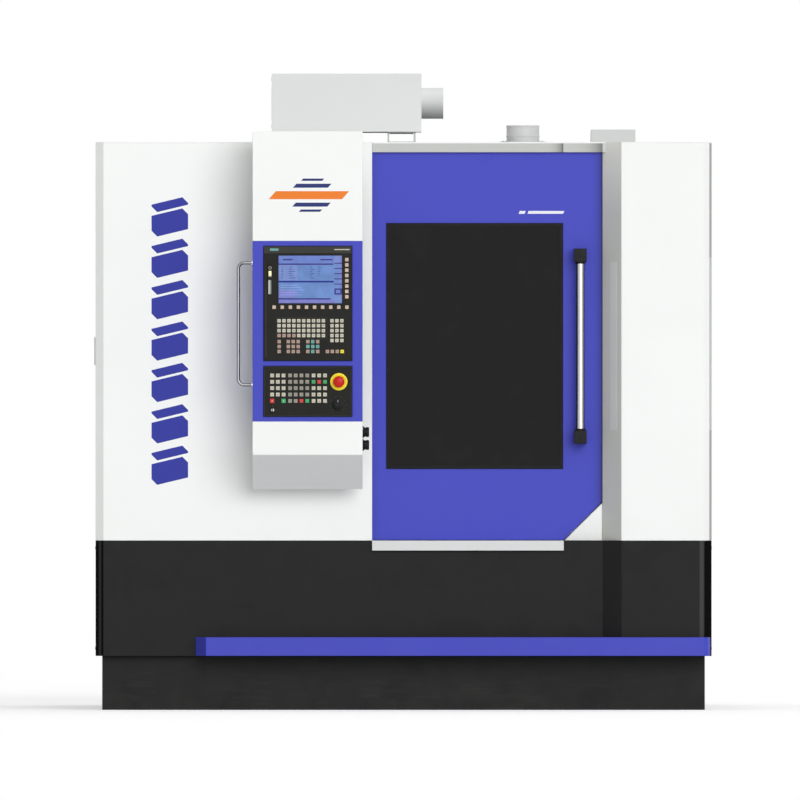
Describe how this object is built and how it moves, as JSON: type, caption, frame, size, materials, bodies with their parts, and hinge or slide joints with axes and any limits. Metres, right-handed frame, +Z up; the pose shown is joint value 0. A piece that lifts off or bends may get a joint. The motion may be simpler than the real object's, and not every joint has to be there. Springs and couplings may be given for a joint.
{
  "type": "gear cutting machine",
  "caption": "Enclosed CNC gear hobbing machine with a sliding front door, a swinging operator console, a feeding hob head, a rotary table and a tailstock.",
  "frame": {"origin": "on the floor, at the middle of the machine's footprint", "axes": "+X to the operator's right, -Y towards the operator at the door, +Z up"},
  "size_m": [2.168, 2.3653, 2.23],
  "materials": {
    "white_paint": "fine textured powder coat, satin",
    "black_paint": "fine textured powder coat, matt",
    "blue_paint": "smooth powder coat, satin",
    "gray_paint": "fine textured powder coat, satin",
    "cast_iron": "painted casting with ground ways",
    "steel": "ground and brushed",
    "hob_coating": "hard nitride coating on ground tool steel",
    "dark_glass": "tinted laminated polycarbonate and glass",
    "screen_glass": "lit flat screen behind anti-glare glass",
    "rubber": "matt extruded profile",
    "black_plastic": "fine moulded grain",
    "key_plastic": "moulded key caps",
    "red_plastic": "moulded, glossy",
    "green_plastic": "moulded, glossy"
  },
  "bodies": {
    "enclosure": {"levelling_feet": "steel", "base_plinth": "black_paint", "machine_bed": "cast_iron", "lower_skirt": "black_paint", "accent_strip": "blue_paint", "left_front_cover": "white_paint", "right_front_cover": "white_paint", "door_frame": "white_paint", "door_sill": "white_paint", "door_rails": "steel", "left_side_wall": "white_paint", "right_side_wall": "white_paint", "roof_panel": "white_paint", "rear_wall": "white_paint", "splash_guards": "steel", "tailstock_column": "cast_iron", "mist_collector": "gray_paint", "mist_brackets": "white_paint", "exhaust_stub": "gray_paint", "roof_service_box": "gray_paint", "electrical_cabinet": "gray_paint", "coolant_tank": "black_paint", "coolant_pumps": "gray_paint", "console_bracket": "black_paint"},
    "front_door": {"door_panel": "blue_paint", "door_window": "dark_glass", "door_gasket": "rubber", "door_handle_bar": "steel", "door_handle_mounts": "black_plastic"},
    "console": {"console_top_cover": "white_paint", "console_centre_cover": "blue_paint", "console_bottom_cover": "white_paint", "grab_handle": "steel", "operator_panel": "black_paint", "operator_screen": "screen_glass", "operator_keys": "key_plastic", "control_panel": "black_paint", "control_keys": "key_plastic", "connector_caps": "black_plastic"},
    "card_flap": {"card_door": "black_plastic"},
    "stop_button": {"estop_button": "red_plastic"},
    "override": {"override_knob": "black_plastic"},
    "mode_lock": {"key_switch": "steel"},
    "start_button": {"start_key": "green_plastic"},
    "halt_button": {"stop_key": "red_plastic"},
    "column": {"radial_column": "cast_iron"},
    "saddle": {"axial_slide": "cast_iron"},
    "head": {"swivel_head": "cast_iron"},
    "shift": {"shift_slide": "cast_iron"},
    "hob_spindle": {"hob_arbor": "steel", "hob": "hob_coating"},
    "work_table": {"rotary_table": "steel", "work_fixture": "steel"},
    "tailstock": {"tailstock_arm": "cast_iron"},
    "centre": {"live_centre": "steel"},
    "side_door": {"left_side_door": "white_paint"},
    "rear_door": {"cabinet_door": "gray_paint"},
    "isolator": {"main_switch": "red_plastic"},
    "fan": {"mist_fan": "steel"}
  },
  "joints": [
    {"name": "door_slide", "type": "slide", "parent": "enclosure", "child": "front_door", "axis": [-1, 0, 0], "range_m": [0, 0.64]},
    {"name": "console_swing", "type": "hinge", "parent": "enclosure", "child": "console", "pos_m": [-0.19, -0.91, 1.3], "axis": [0, 0, 1], "range_deg": [0, 60]},
    {"name": "card_flap_hinge", "type": "hinge", "parent": "console", "child": "card_flap", "pos_m": [-0.4725, -1.1545, 1.504], "axis": [0, 0, -1], "range_deg": [0, 100]},
    {"name": "estop_push", "type": "slide", "parent": "console", "child": "stop_button", "axis": [0, 1, 0], "range_m": [0, 0.004], "stiffness_N_per_m": 1500},
    {"name": "override_turn", "type": "hinge", "parent": "console", "child": "override", "pos_m": [-0.229, -1.156, 1.071], "axis": [0, -1, 0], "range_deg": [-140, 140]},
    {"name": "key_turn", "type": "hinge", "parent": "console", "child": "mode_lock", "pos_m": [-0.457, -1.156, 1.05], "axis": [0, -1, 0], "range_deg": [-90, 0]},
    {"name": "start_push", "type": "slide", "parent": "console", "child": "start_button", "axis": [0, 1, 0], "range_m": [0, 0.0015], "stiffness_N_per_m": 800},
    {"name": "halt_push", "type": "slide", "parent": "console", "child": "halt_button", "axis": [0, 1, 0], "range_m": [0, 0.0015], "stiffness_N_per_m": 800},
    {"name": "radial_feed", "type": "slide", "parent": "enclosure", "child": "column", "axis": [1, 0, 0], "range_m": [0, 0.16]},
    {"name": "axial_feed", "type": "slide", "parent": "column", "child": "saddle", "axis": [0, 0, -1], "range_m": [0, 0.3]},
    {"name": "head_swivel", "type": "hinge", "parent": "saddle", "child": "head", "pos_m": [-0.24, -0.15, 1.36], "axis": [1, 0, 0], "range_deg": [-45, 45]},
    {"name": "hob_shift", "type": "slide", "parent": "head", "child": "shift", "axis": [0, 1, 0], "range_m": [-0.08, 0.08]},
    {"name": "hob_turn", "type": "hinge", "parent": "shift", "child": "hob_spindle", "pos_m": [-0.07, -0.15, 1.36], "axis": [0, 1, 0], "continuous": true},
    {"name": "table_turn", "type": "hinge", "parent": "enclosure", "child": "work_table", "pos_m": [0.33, -0.15, 0.95], "axis": [0, 0, 1], "continuous": true},
    {"name": "tailstock_feed", "type": "slide", "parent": "enclosure", "child": "tailstock", "axis": [0, 0, -1], "range_m": [0, 0.15]},
    {"name": "centre_turn", "type": "hinge", "parent": "tailstock", "child": "centre", "pos_m": [0.33, -0.15, 1.5], "axis": [0, 0, 1], "continuous": true},
    {"name": "side_door_hinge", "type": "hinge", "parent": "enclosure", "child": "side_door", "pos_m": [-1.078, 0.25, 1.3], "axis": [0, 0, -1], "range_deg": [0, 100]},
    {"name": "rear_door_hinge", "type": "hinge", "parent": "enclosure", "child": "rear_door", "pos_m": [-1.038, 1.121, 1], "axis": [0, 0, 1], "range_deg": [0, 100]},
    {"name": "isolator_turn", "type": "hinge", "parent": "rear_door", "child": "isolator", "pos_m": [-0.36, 1.121, 1.45], "axis": [0, 1, 0], "range_deg": [0, 90]},
    {"name": "fan_turn", "type": "hinge", "parent": "enclosure", "child": "fan", "pos_m": [-0.25, -0.35, 2.128], "axis": [1, 0, 0], "continuous": true}
  ],
  "couplings": [
    {"joint": "hob_turn", "follows": "table_turn", "ratio": 8}
  ]
}
